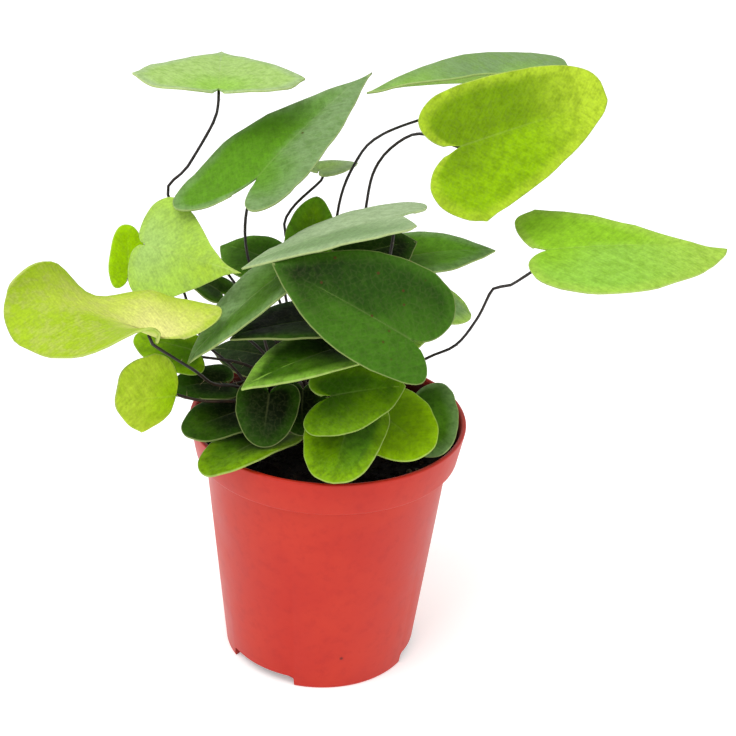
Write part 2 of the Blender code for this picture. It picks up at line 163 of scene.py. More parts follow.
def makeStudio():
    bpy.context.scene.view_settings.view_transform = "Standard"
    world = bpy.data.worlds.new("studio")
    world.use_nodes = True
    background = world.node_tree.nodes["Background"]
    background.inputs["Color"].default_value = (1, 1, 1, 1)
    background.inputs["Strength"].default_value = studio["worldStrength"]
    bpy.context.scene.world = world
    for name, values in studio["lights"].items():
        light = bpy.data.lights.new(name, "AREA")
        light.size = values["size"]
        light.energy = values["watts"]
        lamp = bpy.data.objects.new(name, light)
        lamp.location = values["place"]
        aim = Vector(studio["aim"]) - lamp.location
        lamp.rotation_euler = aim.to_track_quat("-Z", "Y").to_euler()
        bpy.context.scene.collection.objects.link(lamp)
    bm = bmesh.new()
    bmesh.ops.create_grid(bm, x_segments=1, y_segments=1, size=studio["floorSize"] / 2)
    mesh = bpy.data.meshes.new("floor")
    bm.to_mesh(mesh)
    bm.free()
    floor = bpy.data.objects.new("floor", mesh)
    bpy.context.scene.collection.objects.link(floor)
    material, tree, shader = newMaterial(
        "studio paper", studio["floorRoughness"], studio["floorSpecular"])
    shader.inputs["Base Color"].default_value = studio["floorColour"]
    shader.inputs["Emission Color"].default_value = studio["floorColour"]
    shader.inputs["Emission Strength"].default_value = studio["floorGlow"]
    mesh.materials.append(material)


# the pot

pot = {
    "height": 57 * mm,
    "rimRadius": 30 * mm,
    "collarHeight": 8 * mm,
    "collarFootRadius": 28.5 * mm,
    "wallTopRadius": 26.6 * mm,
    "footRadius": 21.3 * mm,
    "wall": 1.1 * mm,
    "floor": 1.2 * mm,
    "edge": 0.5 * mm,
    "innerEdge": 0.4 * mm,
    "rimInnerEdge": 0.45 * mm,
    "stepEdge": 0.35 * mm,
    "sharpFrom": math.radians(35),
    "steps": 144,
    "slotAngles": (-127, -7, 113),
    "slotInnerRadius": 17.6 * mm,
    "slotWidth": 17 * mm,
    "slotHeight": 2.6 * mm,
    "slotEdge": 0.8 * mm,
    "colour": linear(176, 36, 19),
    "sunned": linear(186, 50, 30),
    "deep": linear(158, 23, 13),
    "speck": linear(95, 20, 14),
    "cloudScale": 45,
    "grainScale": 420,
    "speckScale": 190,
    "speckShare": 0.05,
    "specular": 0.27,
    # a dark soil stain with painted shade, on the inside of the wall
    "stainAndShade": linear(44, 20, 15),
    "stainAndShadeFoot": 51 * mm,
    "stainAndShadeTop": 55.5 * mm,
    "stainAndShadeScale": 260,
    "stainAndShadeRagged": 2 * mm,
    "stainAndShadeMost": 0.9,
    "stainAndShadeLeast": 0.1,
}


def potInnerRadius(z):
    step = pot["height"] - pot["collarHeight"]
    if z <= step:
        low, high, share = pot["footRadius"], pot["wallTopRadius"], z / step
    else:
        low, high, share = pot["collarFootRadius"], pot["rimRadius"], (z - step) / pot["collarHeight"]
    return low + (high - low) * share - pot["wall"]


def mouldedPlasticGroup():
    group, given, made = newGroup(
        "mouldedPlastic",
        [("Place", "vector"), ("Colour", "colour"), ("Sunned", "colour"), ("Deep", "colour"),
         ("Speck", "colour")],
        [("Colour", "colour"), ("Roughness", "value"), ("Height", "value")])
    place = given["Place"]
    cloud = noiseValue(group, place, pot["cloudScale"], 4, 0.6)
    fine = noiseValue(group, place, pot["grainScale"], 3, 0.6)
    tone = mixColour(group, fade(group, cloud, 0.35, 0.7, 0, 0.7), given["Colour"], given["Sunned"])
    tone = mixColour(group, fade(group, fine, 0.45, 0.8, 0, 0.45), tone, given["Deep"])
    # a small dark dot in a few of the cells
    dots = addNode(group, "ShaderNodeTexVoronoi", feature="F1",
                   inputs={"Vector": place, "Scale": pot["speckScale"], "Randomness": 1.0})
    chosen = addNode(group, "ShaderNodeSeparateColor", inputs={"Color": dots.outputs["Color"]})
    dot = calc(group, "MULTIPLY", fade(group, dots.outputs["Distance"], 0.05, 0.12),
               calc(group, "GREATER_THAN", chosen.outputs["Red"], 1 - pot["speckShare"]))
    tone = mixColour(group, dot, tone, given["Speck"])
    group.links.new(tone, made["Colour"])
    group.links.new(fade(group, cloud, 0.3, 0.75, 0.36, 0.5), made["Roughness"])
    group.links.new(calc(group, "ADD", fine, calc(group, "MULTIPLY", cloud, 2.0)), made["Height"])
    return group


def potMaterial():
    material, tree, shader = newMaterial("terracotta red plastic", 0.4, pot["specular"])
    place = addNode(tree, "ShaderNodeTexCoord").outputs["Object"]
    skin = addNode(tree, "ShaderNodeGroup", node_tree=mouldedPlasticGroup())
    for label, value in {"Place": place, "Colour": pot["colour"], "Sunned": pot["sunned"],
                         "Deep": pot["deep"], "Speck": pot["speck"]}.items():
        feed(tree, skin.inputs[label], value)
    # the inside of the wall is darkened up to a little below the rim: partly a soil stain, partly
    # painted shade inside the pot
    part = addNode(tree, "ShaderNodeSeparateXYZ", inputs={"Vector": place}).outputs
    reach = addNode(tree, "ShaderNodeVectorMath", operation="LENGTH", inputs={0: addNode(
        tree, "ShaderNodeCombineXYZ", inputs={"X": part["X"], "Y": part["Y"]}).outputs["Vector"]})
    slope = (pot["rimRadius"] - pot["collarFootRadius"]) / pot["collarHeight"]
    start = pot["rimRadius"] - pot["wall"] - slope * pot["height"]
    out = calc(tree, "SUBTRACT", reach.outputs["Value"], calc(tree, "MULTIPLY", part["Z"], slope))
    uneven = calc(tree, "MULTIPLY", noiseValue(tree, place, pot["stainAndShadeScale"]), pot["stainAndShadeRagged"])
    ragged = calc(tree, "ADD", part["Z"], uneven)
    stainAndShade = calc(tree, "MULTIPLY", fade(tree, out, start + 0.1 * mm, start + 0.4 * mm),
                 fade(tree, part["Z"], pot["stainAndShadeFoot"] - mm, pot["stainAndShadeFoot"], 0, 1))
    stainAndShade = calc(tree, "MULTIPLY", stainAndShade, fade(
        tree, ragged, pot["stainAndShadeTop"], pot["height"] + mm, pot["stainAndShadeMost"], pot["stainAndShadeLeast"]))
    tone = mixColour(tree, stainAndShade, skin.outputs["Colour"], pot["stainAndShade"])
    tree.links.new(tone, shader.inputs["Base Color"])
    tree.links.new(skin.outputs["Roughness"], shader.inputs["Roughness"])
    addBump(tree, shader, skin.outputs["Height"], 0.12, 0.2 * mm)
    return material


def roundCorner(before, corner, after, radius, steps=4):
    # points of a quarter-like arc that rounds a corner of a profile
    into = (Vector(before) - Vector(corner)).normalized() * radius
    out = (Vector(after) - Vector(corner)).normalized() * radius
    points = []
    for step in range(steps + 1):
        t = step / steps
        points.append(Vector(corner) + into * (1 - t) ** 2 + out * t ** 2)
    return points


def spinProfile(points, steps):
    bm = bmesh.new()
    verts = [bm.verts.new((r, 0, z)) for r, z in points]
    edges = [bm.edges.new(ends) for ends in zip(verts, verts[1:])]
    bmesh.ops.spin(bm, geom=verts + edges, axis=(0, 0, 1), cent=(0, 0, 0), steps=steps,
                   angle=2 * math.pi, use_merge=True)
    bmesh.ops.remove_doubles(bm, verts=bm.verts, dist=0.005 * mm)
    bmesh.ops.recalc_face_normals(bm, faces=bm.faces)
    return bm


def makePot():
    step = pot["height"] - pot["collarHeight"]
    wall, edge, innerEdge = pot["wall"], pot["edge"], pot["innerEdge"]
    # each corner of the profile, and how far it is rounded
    corners = [
        ((0, pot["floor"]), 0),
        ((potInnerRadius(pot["floor"]), pot["floor"]), innerEdge),
        ((potInnerRadius(step - wall), step - wall), innerEdge),
        ((potInnerRadius(step + wall), step + wall), innerEdge),
        ((pot["rimRadius"] - wall, pot["height"]), pot["rimInnerEdge"]),
        ((pot["rimRadius"], pot["height"]), edge),
        ((pot["collarFootRadius"], step), edge),
        ((pot["wallTopRadius"], step), pot["stepEdge"]),
        ((pot["footRadius"], 0), edge),
        ((0, 0), 0),
    ]
    points = [corners[0][0]]
    for (before, _), (corner, radius), (after, _) in zip(corners, corners[1:], corners[2:]):
        points += [tuple(p) for p in roundCorner(before, corner, after, radius)]
    points.append(corners[-1][0])
    bm = spinProfile(points, pot["steps"])
    piece = finishPiece(bm, "nurseryPot", [potMaterial()])
    # the drain slots, cut through the wall and the floor's edge
    reach = pot["footRadius"] - pot["slotInnerRadius"]
    cutters = []
    for angle in pot["slotAngles"]:
        cut = bmesh.new()
        bmesh.ops.create_cube(cut, size=1)
        bmesh.ops.scale(cut, verts=cut.verts, vec=(2 * reach + 2 * mm, pot["slotWidth"],
                                                   2 * pot["slotHeight"]))
        lengthways = [e for e in cut.edges if abs(e.verts[0].co.x - e.verts[1].co.x) > mm]
        bmesh.ops.bevel(cut, geom=lengthways, offset=pot["slotEdge"], affect="EDGES", segments=3,
                        profile=0.5, material=-1)
        bmesh.ops.translate(cut, verts=cut.verts, vec=(pot["footRadius"] + mm, 0, 0))
        bmesh.ops.rotate(cut, verts=cut.verts, matrix=Matrix.Rotation(math.radians(angle), 3, "Z"))
        mesh = bpy.data.meshes.new("slotCutter")
        cut.to_mesh(mesh)
        cut.free()
        cutter = bpy.data.objects.new("slotCutter", mesh)
        bpy.context.scene.collection.objects.link(cutter)
        cutters.append(cutter)
        modifier = piece.modifiers.new("slot", "BOOLEAN")
        modifier.operation = "DIFFERENCE"
        modifier.object = cutter
    bpy.context.view_layer.update()
    cutPot = piece.evaluated_get(bpy.context.evaluated_depsgraph_get())
    shaped = bpy.data.meshes.new_from_object(cutPot)
    piece.modifiers.clear()
    piece.data = shaped
    for cutter in cutters:
        bpy.data.objects.remove(cutter, do_unlink=True)
    shaped.shade_smooth()
    shaped.set_sharp_from_angle(angle=pot["sharpFrom"])
    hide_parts("pot")
    print("pot done")


# the soil

soil = {
    "top": 53.4 * mm,
    "relief": 1.0 * mm,
    "lump": 5 * mm,
    "grain": 0.35 * mm,
    "grainSize": 0.9 * mm,
    "gap": 0.3 * mm,
    "shoulder": 1.7 * mm,
    "rings": 26,
    "steps": 110,
    "crumbs": 1500,
    "crumbSizes": (0.25 * mm, 0.95 * mm),
    "crumbUneven": 0.45,
    "crumbFlat": 0.75,
    "crumbLift": 0.15,
    "paleShare": 0.05,
    "grainScale": 900,
    "patchScale": 160,
    "colour": linear(16, 10, 9),
    "lighter": linear(46, 34, 27),
    "pale": linear(128, 118, 104),
}


def crumblyGroup():
    group, given, made = newGroup(
        "crumbly", [("Place", "vector"), ("Dark", "colour"), ("Light", "colour")],
        [("Colour", "colour"), ("Height", "value")])
    grain = noiseValue(group, given["Place"], soil["grainScale"], 5, 0.65)
    patch = noiseValue(group, given["Place"], soil["patchScale"], 3, 0.6)
    share = calc(group, "MULTIPLY", fade(group, grain, 0.45, 0.75, 0, 1),
                 fade(group, patch, 0.35, 0.7, 0.25, 1))
    group.links.new(mixColour(group, share, given["Dark"], given["Light"]), made["Colour"])
    group.links.new(calc(group, "ADD", grain, patch), made["Height"])
    return group


def soilMaterial(name, group, dark, light):
    material, tree, shader = newMaterial(name, 0.95, 0.12)
    skin = addNode(tree, "ShaderNodeGroup", node_tree=group)
    feed(tree, skin.inputs["Place"], addNode(tree, "ShaderNodeTexCoord").outputs["Object"])
    feed(tree, skin.inputs["Dark"], dark)
    feed(tree, skin.inputs["Light"], light)
    tree.links.new(skin.outputs["Colour"], shader.inputs["Base Color"])
    addBump(tree, shader, skin.outputs["Height"], 0.8, 0.3 * mm)
    return material


def soilHeight(x, y):
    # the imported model's lumps, plus finer grain
    place = Vector((x, y, soil["top"]))
    lump = soil["relief"] * noise.noise(place / soil["lump"])
    return soil["top"] + lump + soil["grain"] * noise.noise(place / soil["grainSize"])


def makeSoil():
    group = crumblyGroup()
    earth = soilMaterial("potting soil", group, soil["colour"], soil["lighter"])
    paleGrit = soilMaterial("pale grit", group, soil["lighter"], soil["pale"])
    gap = soil["gap"]
    edge = potInnerRadius(soil["top"]) - gap
    step = pot["height"] - pot["collarHeight"]
    floor = pot["floor"] + gap
    inner = edge - soil["shoulder"]
    points = [(inner * i / soil["rings"], soil["top"]) for i in range(soil["rings"] + 1)]
    points += [
        (edge - gap, soil["top"] - mm),
        (potInnerRadius(step + pot["wall"]) - gap, step + pot["wall"] + gap),
        (potInnerRadius(step - pot["wall"]) - gap, step - pot["wall"] + gap),
        (potInnerRadius(floor) - gap, floor),
        (0, floor),
    ]
    bm = spinProfile(points, soil["steps"])
    for vert in bm.verts:
        if vert.co.z > soil["top"] - 0.5 * mm:
            vert.co.z = soilHeight(vert.co.x, vert.co.y)
    bed = finishPiece(bm, "soilBed", [earth])
    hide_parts("soil")
    # loose crumbs, most of them small
    draw = random.Random(7)
    smallest, largest = soil["crumbSizes"]
    bm = bmesh.new()
    for i in range(soil["crumbs"]):
        size = smallest + (largest - smallest) * draw.random() ** 3
        reach = (edge - size - 0.2 * mm) * math.sqrt(draw.random())
        angle = draw.uniform(0, 2 * math.pi)
        x, y = reach * math.cos(angle), reach * math.sin(angle)
        bit = bmesh.ops.create_icosphere(bm, subdivisions=1, radius=size)["verts"]
        for vert in bit:
            uneven = noise.noise(vert.co / size * 1.7 + Vector((i, 0, 0)))
            vert.co *= 1 + soil["crumbUneven"] * uneven
            vert.co.z *= soil["crumbFlat"]
        height = soilHeight(x, y) + size * soil["crumbLift"]
        bmesh.ops.translate(bm, verts=bit, vec=(x, y, height))
        if draw.random() < soil["paleShare"]:
            for face in {face for vert in bit for face in vert.link_faces}:
                face.material_index = 1
    finishPiece(bm, "soilCrumbs", [earth, paleGrit], smooth=False)
    print("soil done")


# the fronds

# the leaves' greens, with light and shade painted in: the darkest, pine and night, are partly painted
# shade deep in the tuft; the bright lime, lemon and butter greens are partly painted light shining
# through the leaf; the grey mist and sage greens are partly a painted sheen
leafColours = {
    "butter": linear(226, 222, 140),
    "lemon": linear(180, 194, 78),
    "lime": linear(167, 194, 50),
    "pear": linear(150, 178, 40),
    "spring": linear(154, 186, 102),
    "dew": linear(153, 188, 72),
    "mist": linear(152, 174, 130),
    "sage": linear(114, 142, 92),
    "meadow": linear(136, 183, 66),
    "grass": linear(130, 179, 40),
    "apple": linear(126, 166, 10),
    "olive": linear(104, 137, 14),
    "acid": linear(150, 195, 6),
    "leafy": linear(102, 142, 8),
    "fern": linear(88, 136, 34),
    "moss": linear(66, 104, 16),
    "forest": linear(62, 102, 27),
    "deep": linear(38, 66, 18),
    "ivy": linear(48, 82, 14),
    "pine": linear(32, 54, 8),
    "night": linear(16, 26, 4),
    "bark": linear(74, 48, 30),
    # the rim: a pale fringe with a painted edge highlight
    "rim": linear(196, 204, 136),
    "under": linear(166, 192, 92),
}

# lengths in the leaf's skin are in millimetres, but for the bump's
leafSkin = {
    "cloudScale": 0.22,
    "blotchScale": 0.55,
    "grainScale": 1.9,
    "fibreScale": 1.1,
    "netScale": 0.8,
    "fleckScale": 0.7,
    "sway": 4.0,
    "seam": 2.0,
    "heartReach": 11.0,
    "tipStart": 0.35,
    "marginWidth": 3.2,
    "rimWidth": 0.26,
    "blotchMix": 0.22,
    "blotchDim": (1.02, 0.84),
    "grainDim": 0.09,
    "fibreDim": 0.07,
    "netMix": 0.025,
    "midribMix": 0.06,
    "fleckMix": 0.8,
    "underMix": 0.3,
    "rimMix": 0.3,
    "roughness": (0.45, 0.6),
    "underRoughness": 0.2,
    "specular": 0.06,
    "netDepth": 0.12,
    "midribDepth": 0.9,
    "fineRelief": 0.35,
    "bump": 0.3,
    "bumpHeight": 0.22 * mm,
}

leafBuild = {
    "thickness": 0.42 * mm,
    "rays": 40,
    "rings": 14,
    "ringSpread": 1.5,
    "sinusOpen": 0.16,
    "sinusEnd": math.radians(62),
    "cornerSpread": 0.7,
    "ripple": 0.4 * mm,
    "rippleSize": 6 * mm,
    "curl": 0.35 * mm,
    "waver": 0.25 * mm,
    "waverSize": 3 * mm,
    "sliver": 0.25 * mm,
    "merge": 0.002 * mm,
}

stalkBuild = {
    "radius": 0.31 * mm,
    "sides": 10,
    "knobble": 0.10,
    "knobbleSize": 1.6 * mm,
    "swell": 0.35,
    "swellReach": 14 * mm,
    "depth": 5 * mm,
    "root": 3 * mm,
    "spacing": 1.8 * mm,
    "neck": 2.5 * mm,
    "seat": 1.6 * mm,
    "tuck": 0.4,
    "crownCentre": (-3 * mm, -1 * mm),
    "crownRadius": 6.5 * mm,
    "crownTop": 57.5 * mm,
    "crownDepth": 4 * mm,
    "crownLump": 0.8 * mm,
    "crownGrain": 0.35 * mm,
    "black": linear(24, 17, 15),
    "brown": linear(82, 52, 34),
    "brownFoot": 56 * mm,
    "brownTop": 78 * mm,
    "hair": linear(196, 176, 140),
    "hairsPerStalk": 30,
    "hairLengths": (0.7 * mm, 1.7 * mm),
    "hairRadius": 0.035 * mm,
    "hairTip": 0.01 * mm,
    "hairsLow": 1.6,
}


def pair(value):
    # the left and the right half's value, from two or from one for both
    return value if isinstance(value, tuple) else (value, value)


def anglePair(value):
    return [math.radians(angle) for angle in pair(value)]


def frond(name, base, tip, foot=None, via=(), width=0.84, sides=(1, 1), widest=0.1, lobe=0.26,
          heel=0.46, point=1.0, corner=0.0, roll=0, fold=6, twist=0, dip=0, arch=0.03, droop=0.02,
          lean=0.6, tones=("fern", "fern", "moss", "fern", "apple"), vein=0.0, flecks=0.0):
    # millimetres and degrees, as in the imported model but for the lobe and heel of leaf 09 and
    # the heel of leaf 10
    # tones are the left half, the right half, round the notch, the tip and the margin; along with
    # each leaf's own greens they hold painted shade, such as a shadow cast by the leaf above and the
    # dark deep in the tuft, and painted light shining through the leaf
    return {"name": name, "base": Vector(base) * mm, "tip": Vector(tip) * mm,
            "foot": foot and Vector((*foot, 0)) * mm, "via": [Vector(p) * mm for p in via],
            "width": width, "sides": sides, "widest": pair(widest), "lobe": pair(lobe),
            "heel": pair(heel), "point": pair(point), "corner": pair(corner),
            "roll": math.radians(roll), "fold": anglePair(fold), "twist": anglePair(twist),
            "dip": anglePair(dip), "arch": arch, "droop": pair(droop), "lean": lean,
            "tones": tones, "vein": vein, "flecks": flecks}


tallFronds = [
    frond("01", (-25, 8, 126), (-27, 40, 125), foot=(-11, 4), width=1.1, lobe=0.2, point=1.4,
          corner=0.35, arch=0.02, droop=-0.05, tones=("spring", "spring", "meadow", "spring", "mist"),
          via=[(-16, 9, 74), (-27, 11, 90), (-35, 5, 104), (-31, 6, 110), (-26, 8, 119)]),
    frond("02", (-16, -4, 112), (6, 26, 126), foot=(-8, 7), roll=-3, fold=0, width=0.74,
          sides=(1, 0.64), lobe=(0.37, 0.25), droop=-0.05, point=(1.7, 1.3), flecks=0.012,
          tones=("fern", "sage", "fern", "sage", "sage"),
          via=[(-13, 4, 76), (-18, -3, 95), (-18, -4, 106)]),
    frond("03", (42, 32, 123), (5, 18, 124), foot=(1, 8), roll=4, fold=22, width=0.72,
          sides=(1, 0.92), widest=(0.1, -0.08), lobe=(0.12, 0.31), heel=(0.46, 0.74),
          droop=(-0.04, 0), point=1.2, tones=("meadow", "sage", "meadow", "meadow", "sage"),
          via=[(0, 10, 80), (0, 11, 99), (3, 14, 109), (9, 18, 115), (26, 26, 119)]),
    frond("04", (24, 0, 119), (53.6, 8, 127.8), foot=(5, 5), roll=60, fold=5, width=0.84,
          sides=(0.87, 1.2), widest=(0.1, 0), lobe=(0.2, 0.26), point=(0.3, 0.7), corner=(0, 0.3),
          tones=("olive", "apple", "olive", "lime", "lime"),
          via=[(5, 7, 80), (6, 8, 103), (8, 8, 112), (13, 6.5, 118), (17.5, 5, 119.5)]),
    frond("05", (43, -6, 100), (79, -6, 102), foot=(7, 0), roll=16, fold=4, width=0.8,
          sides=(0.9, 1.1), widest=(-0.05, 0.28), lobe=(0.17, 0.12), heel=(0.8, 0.25), droop=0,
          point=(1.7, 0.75), corner=(0.3, 0), tones=("grass", "meadow", "grass", "dew", "dew"),
          via=[(12, -2, 66), (20, -3, 73), (26, -4, 77), (30, -5, 84), (32.5, -6, 91), (36, -6, 92)]),
    frond("06", (-4, 20, 105.5), (4, 27, 105.3), foot=(-4, 9), width=0.75, lobe=0.1,
          tones=("spring", "mist", "spring", "mist", "mist"),
          via=[(-5, 13, 78), (-11, 18, 91), (-10, 18, 97)]),
    frond("07", (12, -12, 108), (-18, -22, 100), foot=(1.5, -9), roll=11, fold=0, width=0.78,
          sides=(0.9, 1.08), lobe=(0.04, 0.26), heel=(0.5, 0.65), lean=0, point=(1, 1.4),
          tones=("sage", "mist", "mist", "sage", "mist"),
          via=[(4, -6, 76), (6, -9, 86), (10, -12, 96)]),
    frond("08", (15, -30, 90), (-12, -24, 102), foot=(7, -5), roll=-45, fold=10, width=0.9, lean=0,
          sides=(0.74, 1), widest=(0.25, 0.1), lobe=(0.2, 0.18), flecks=0.1,
          tones=("forest", "deep", "forest", "night", "forest"),
          via=[(11, -5, 65), (12, -9, 74), (14, -20, 83)]),
    frond("09", (-38, -8, 98), (-18, -18, 97), foot=(-13, -1), roll=60, fold=-5, width=0.95,
          lobe=0.14, heel=0.2, point=(2.6, 1.8), lean=0,
          tones=("dew", "dew", "spring", "pear", "dew"),
          via=[(-20, 1, 66), (-27, 2, 72), (-30, 2, 79), (-32, -2, 88)]),
    frond("10", (-33.6, -28, 87.2), (-61.8, -30, 94.9), foot=(-12, -5), roll=-20, fold=(52, 6),
          twist=(-135, 85), dip=(-32, -38), arch=0.05, droop=(0.05, -0.2), width=0.9,
          sides=(1.05, 0.85), lobe=(0.01, 0.38), heel=(0.12, 0.46), point=(0.45, 0.3), vein=0.8,
          tones=("pear", "lemon", "butter", "pear", "pear"),
          via=[(-12.5, -5.5, 62), (-18.8, -13, 69.5), (-23.5, -17, 72), (-27.1, -22, 77.5)]),
    frond("11", (-31, -20, 70.5), (-41, -31, 75), foot=(-9, -9), roll=-85, fold=(-12, 0),
          twist=(12, 0), width=1.16, sides=(0.85, 1), widest=(0.42, 0.5), point=(0.55, 0.22),
          corner=(0.2, 0.1), lobe=(0.03, 0.02), heel=(0.46, 0.2), lean=3,
          tones=("lime", "lime", "acid", "lime", "lime"),
          via=[(-10.5, -9.5, 62), (-17, -11, 65), (-26, -15, 67)]),
]

# the low fronds' dark tones are partly painted shade, deep in the tuft
lowFronds = [
    frond("12", (4, -4, 96), (16.8, 3, 97), roll=28, width=1.1, via=[(0, -2, 70), (1, -3, 84)],
          tones=("pine", "night", "pine", "night", "ivy")),
    frond("13", (15, 4, 93), (34, 10, 93), roll=10, width=0.8, via=[(4, 2, 70), (10, 3, 83)],
          tones=("fern", "fern", "moss", "fern", "sage")),
    frond("14", (18, -8, 88.4), (28.3, -4, 85), roll=20, point=0.5, width=1.2,
          via=[(5, -3, 68), (12, -6, 78)], tones=("sage", "sage", "fern", "sage", "dew")),
    frond("15", (-5.5, 8, 92), (-4.5, 12, 102.4), width=1.0, point=0.6,
          via=[(-3, 3, 70), (-4, 6, 82)], tones=("leafy", "leafy", "moss", "leafy", "fern")),
    frond("16", (-15, 9.5, 89), (-25, 16, 89), roll=-20, width=1.3, sides=(1, 0.75),
          via=[(-7, 3, 70), (-11, 5, 80)], tones=("moss", "moss", "ivy", "moss", "fern")),
    frond("17", (-43, 2, 87), (-43.5, 4, 97.3), point=0.45, width=0.75, lean=2,
          via=[(-10, 1, 65), (-18, 5, 72), (-32, 8, 78), (-41, 7, 80)],
          tones=("acid", "acid", "acid", "acid", "acid")),
    frond("18", (-29, -4, 73), (-41.3, -3, 75), roll=-35, width=1.0, sides=(1, 0.6), point=0.5,
          via=[(-10, -2, 64), (-18, -2.5, 69.5)], tones=("leafy", "leafy", "moss", "apple", "apple")),
    frond("19", (-12, -16, 95), (-28.4, -22, 79), width=0.7, lean=0,
          via=[(-9, -4, 82), (-11, -7, 93)], tones=("moss", "sage", "moss", "fern", "sage")),
    frond("20", (-24, 4, 83), (-31, 8, 85), point=0.6, width=1.2, via=[(-6, 1, 66), (-14, 3, 75)],
          tones=("ivy", "ivy", "pine", "ivy", "moss")),
    frond("21", (-1, -16, 87), (-20, -22, 85), width=0.9, lean=3, via=[(-1, -5, 78), (-1, -9, 85)],
          tones=("pine", "night", "night", "night", "ivy")),
    frond("22", (2, -20, 83), (-17, -32, 79), width=0.8, lean=1, via=[(1, -5, 68), (3, -12, 77)],
          tones=("moss", "ivy", "night", "ivy", "meadow")),
    frond("23", (0.6, -24, 74), (15, -24, 77), roll=38, width=1.15, sides=(0.75, 1.05),
          lobe=(0.3, 0.42), point=0.8, via=[(0, -7, 64), (0.5, -12, 69), (0.5, -18, 70.5)],
          tones=("moss", "leafy", "ivy", "moss", "leafy")),
    frond("24", (4.5, -19, 66.5), (1.5, -33, 59.5), roll=5, point=0.35, width=1.06, lobe=0.25,
          via=[(-1, -9.5, 61), (3, -15, 64)], tones=("fern", "leafy", "pine", "leafy", "apple")),
    frond("25", (11, -13, 64.5), (20.5, -24, 62.2), roll=25, point=0.45, width=1.12, sides=(1, 1.1),
          via=[(3.6, -8, 60)], tones=("apple", "apple", "leafy", "apple", "acid")),
    frond("26", (18.3, -3.5, 63.5), (22.8, -16.8, 57.4), roll=15, point=0.45, width=1.05, lobe=0.2,
          via=[(7, -2, 60)], tones=("fern", "moss", "ivy", "moss", "sage")),
    frond("27", (-13, -17, 59.8), (-24.5, -28.5, 57.6), roll=4, width=1.05, sides=(0.8, 0.85),
          lobe=(0.4, 0.2), point=0.45, via=[(-6, -10, 58.5)],
          tones=("leafy", "moss", "night", "leafy", "apple")),
    frond("28", (-18, -10, 62.5), (-29.5, -17, 60.2), roll=-9, width=1.2, sides=(0.9, 0.8),
          lobe=0.2, point=0.45, lean=2, via=[(-10.5, -7, 58)],
          tones=("pine", "pine", "night", "moss", "ivy")),
    frond("29", (-22.5, -6.5, 67), (-33, -9.5, 66.5), roll=-15, width=1.0, point=0.5, lean=3,
          via=[(-9, -2, 63), (-15, -3.5, 66.5)], tones=("pine", "pine", "night", "ivy", "ivy")),
    frond("30", (-12.3, -15, 69), (-13, -23.5, 61.5), width=1.15, point=0.5, lean=1,
          via=[(-10, -7, 62)], tones=("night", "pine", "night", "pine", "ivy")),
    frond("34", (-5.5, -11, 68), (-5.5, -19, 62), width=1.05, point=0.5, lean=1, via=[(-4.5, -6, 62)],
          tones=("night", "night", "night", "pine", "ivy")),
    frond("31", (-12, 14, 63), (-27, 22, 61), roll=-15, width=1.0, via=[(-6, 6, 61)],
          tones=("pine", "pine", "night", "pine", "pine")),
    frond("32", (9, 15, 68), (19, 37, 65), width=0.9, via=[(3.5, 7, 63)]),
    frond("33", (-3, 20, 80), (-5, 42, 82), width=0.9, via=[(-1.5, 8.5, 66), (-2, 14, 76)]),
]


